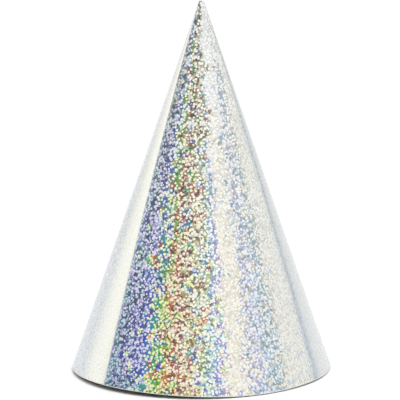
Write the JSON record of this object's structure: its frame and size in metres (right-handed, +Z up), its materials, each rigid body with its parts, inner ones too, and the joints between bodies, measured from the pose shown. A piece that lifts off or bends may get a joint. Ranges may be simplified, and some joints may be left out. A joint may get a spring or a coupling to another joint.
{
  "type": "new year party hat",
  "caption": "Tall pointed cone of glittering holographic card, open at the base, rolled and glued in a lap at the back, with chin-cord holes.",
  "frame": {"origin": "centre of the hat's rim, on the surface that it stands on", "axes": "+Z up from the rim to the tip, the front faces -Y, the lap of the sheet is at the back, +Y"},
  "size_m": [0.1097, 0.1098, 0.1569],
  "materials": {
    "card": "matte",
    "film": "polished",
    "adhesive": "satin"
  },
  "bodies": {
    "root": {"card_cone": "card", "holographic_film": "film", "seam_adhesive": "adhesive"}
  },
  "joints": []
}
